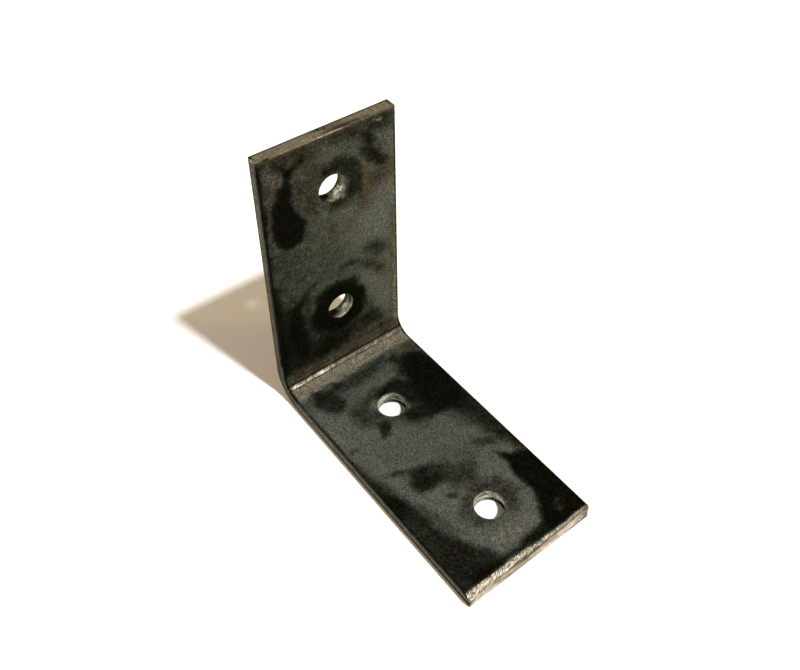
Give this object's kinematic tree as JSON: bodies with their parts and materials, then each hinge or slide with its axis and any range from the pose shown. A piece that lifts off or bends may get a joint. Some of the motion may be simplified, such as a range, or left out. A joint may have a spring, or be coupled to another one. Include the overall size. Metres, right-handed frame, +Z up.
{
  "type": "corner brace bracket",
  "caption": "Right-angle corner brace folded from flat steel bar, with screw holes in both legs, for joining or propping two members at a corner.",
  "frame": {"origin": "the corner where the planes of the two outer faces meet, half way across the bar", "axes": "+X runs along the base leg to its cut end, +Z runs up the upright leg to its cut end, and Y runs across the bar"},
  "size_m": [0.0836, 0.04, 0.0826],
  "materials": {
    "mill_scale_steel": "raw hot-rolled steel: dark blue-grey mill scale, mottled and stained, with bare metal at the cut ends, the holes and the fold"
  },
  "bodies": {
    "root": {"bracket": "mill_scale_steel"}
  },
  "joints": []
}
